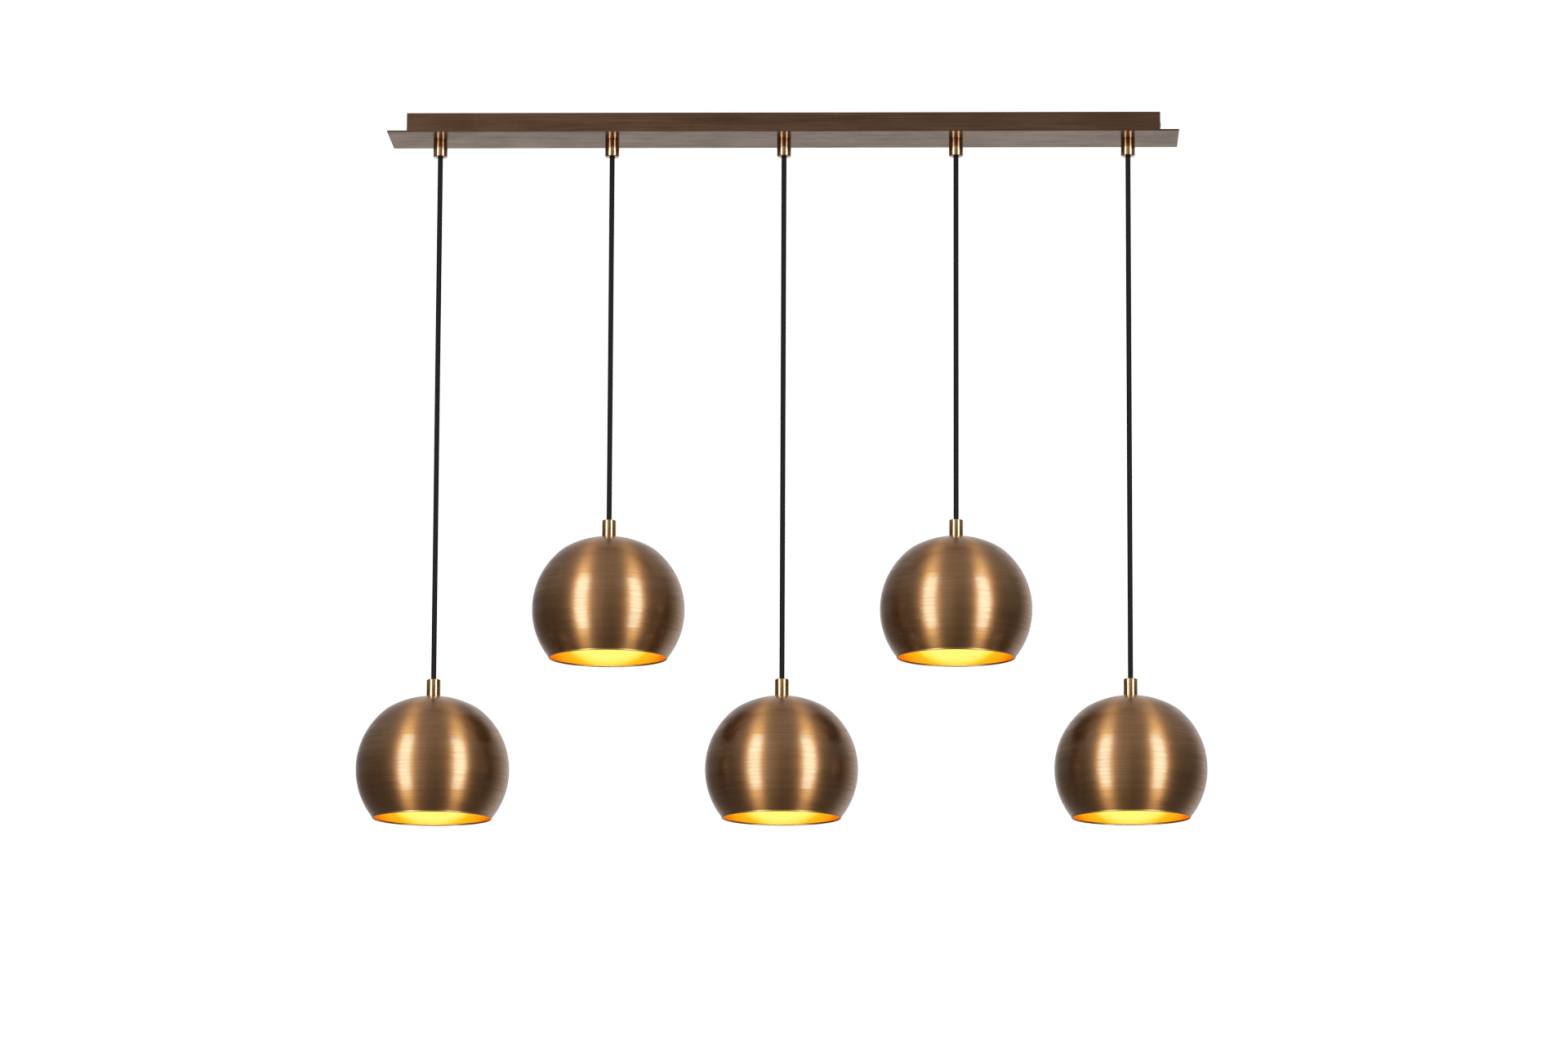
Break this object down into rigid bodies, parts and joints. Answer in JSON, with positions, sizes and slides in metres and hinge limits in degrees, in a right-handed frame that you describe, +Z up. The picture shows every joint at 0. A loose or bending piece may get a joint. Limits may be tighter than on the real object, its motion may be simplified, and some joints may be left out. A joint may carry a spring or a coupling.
{
  "type": "pendant light",
  "caption": "Linear pendant light: spun ball shades in brushed antique brass, gold inside, hang at two heights on black cords from a slim ceiling bar.",
  "frame": {"origin": "middle of the bracket's top face, which meets the ceiling", "axes": "+Z up into the ceiling, +X along the bar to the right in the picture, -Y towards the viewer"},
  "size_m": [1, 0.18, 0.8422],
  "materials": {
    "bronzed_bar": "brushed antique bronze",
    "shade_brass": "brushed antique brass outside, gold lacquer inside",
    "turned_brass": "turned and brushed",
    "zinc_steel": "zinc plated",
    "nickel": "nickel plated",
    "black_textile": "woven sleeve",
    "black_sheath": "satin",
    "black_plastic": "satin moulded",
    "white_plastic": "satin moulded",
    "clear_plastic": "translucent",
    "bulb_glass": "opal"
  },
  "bodies": {
    "bar": {"mounting_bracket": "zinc_steel", "canopy_channel": "bronzed_bar", "bar_plate": "bronzed_bar", "end_screws": "turned_brass", "wiring_box": "white_plastic", "box_lid": "white_plastic", "terminal_block": "clear_plastic", "terminal_screws": "zinc_steel", "inner_flexes": "black_sheath", "held_cords": "black_textile", "cord_grips": "turned_brass", "grip_collets": "black_plastic", "bar_nipples": "zinc_steel", "lock_nuts": "zinc_steel", "lock_washers": "zinc_steel"},
    "bend_1": {"cord_bend_1": "black_textile"},
    "pendant_1": {"cord_1": "black_textile", "collar_1": "turned_brass", "shade_nipple_1": "zinc_steel", "shade_1": "shade_brass", "holder_cap_1": "black_plastic", "lampholder_1": "black_plastic", "bulb_cap_1": "nickel", "bulb_1": "bulb_glass"},
    "bend_2": {"cord_bend_2": "black_textile"},
    "pendant_2": {"cord_2": "black_textile", "collar_2": "turned_brass", "shade_nipple_2": "zinc_steel", "shade_2": "shade_brass", "holder_cap_2": "black_plastic", "lampholder_2": "black_plastic", "bulb_cap_2": "nickel", "bulb_2": "bulb_glass"},
    "bend_3": {"cord_bend_3": "black_textile"},
    "pendant_3": {"cord_3": "black_textile", "collar_3": "turned_brass", "shade_nipple_3": "zinc_steel", "shade_3": "shade_brass", "holder_cap_3": "black_plastic", "lampholder_3": "black_plastic", "bulb_cap_3": "nickel", "bulb_3": "bulb_glass"},
    "bend_4": {"cord_bend_4": "black_textile"},
    "pendant_4": {"cord_4": "black_textile", "collar_4": "turned_brass", "shade_nipple_4": "zinc_steel", "shade_4": "shade_brass", "holder_cap_4": "black_plastic", "lampholder_4": "black_plastic", "bulb_cap_4": "nickel", "bulb_4": "bulb_glass"},
    "bend_5": {"cord_bend_5": "black_textile"},
    "pendant_5": {"cord_5": "black_textile", "collar_5": "turned_brass", "shade_nipple_5": "zinc_steel", "shade_5": "shade_brass", "holder_cap_5": "black_plastic", "lampholder_5": "black_plastic", "bulb_cap_5": "nickel", "bulb_5": "bulb_glass"}
  },
  "joints": [
    {"name": "pendant_1_side_swing", "type": "hinge", "parent": "bar", "child": "bend_1", "pos_m": [-0.41, 0, -0.0485], "axis": [0, -1, 0], "range_deg": [-30, 11]},
    {"name": "pendant_1_fore_aft_swing", "type": "hinge", "parent": "bend_1", "child": "pendant_1", "pos_m": [-0.41, 0, -0.0485], "axis": [-1, 0, 0], "range_deg": [-30, 30]},
    {"name": "pendant_2_side_swing", "type": "hinge", "parent": "bar", "child": "bend_2", "pos_m": [-0.205, 0, -0.0485], "axis": [0, -1, 0], "range_deg": [-11, 11]},
    {"name": "pendant_2_fore_aft_swing", "type": "hinge", "parent": "bend_2", "child": "pendant_2", "pos_m": [-0.205, 0, -0.0485], "axis": [-1, 0, 0], "range_deg": [-30, 30]},
    {"name": "pendant_3_side_swing", "type": "hinge", "parent": "bar", "child": "bend_3", "pos_m": [0, 0, -0.0485], "axis": [0, -1, 0], "range_deg": [-11, 11]},
    {"name": "pendant_3_fore_aft_swing", "type": "hinge", "parent": "bend_3", "child": "pendant_3", "pos_m": [0, 0, -0.0485], "axis": [-1, 0, 0], "range_deg": [-30, 30]},
    {"name": "pendant_4_side_swing", "type": "hinge", "parent": "bar", "child": "bend_4", "pos_m": [0.205, 0, -0.0485], "axis": [0, -1, 0], "range_deg": [-11, 11]},
    {"name": "pendant_4_fore_aft_swing", "type": "hinge", "parent": "bend_4", "child": "pendant_4", "pos_m": [0.205, 0, -0.0485], "axis": [-1, 0, 0], "range_deg": [-30, 30]},
    {"name": "pendant_5_side_swing", "type": "hinge", "parent": "bar", "child": "bend_5", "pos_m": [0.41, 0, -0.0485], "axis": [0, -1, 0], "range_deg": [-11, 30]},
    {"name": "pendant_5_fore_aft_swing", "type": "hinge", "parent": "bend_5", "child": "pendant_5", "pos_m": [0.41, 0, -0.0485], "axis": [-1, 0, 0], "range_deg": [-30, 30]}
  ]
}
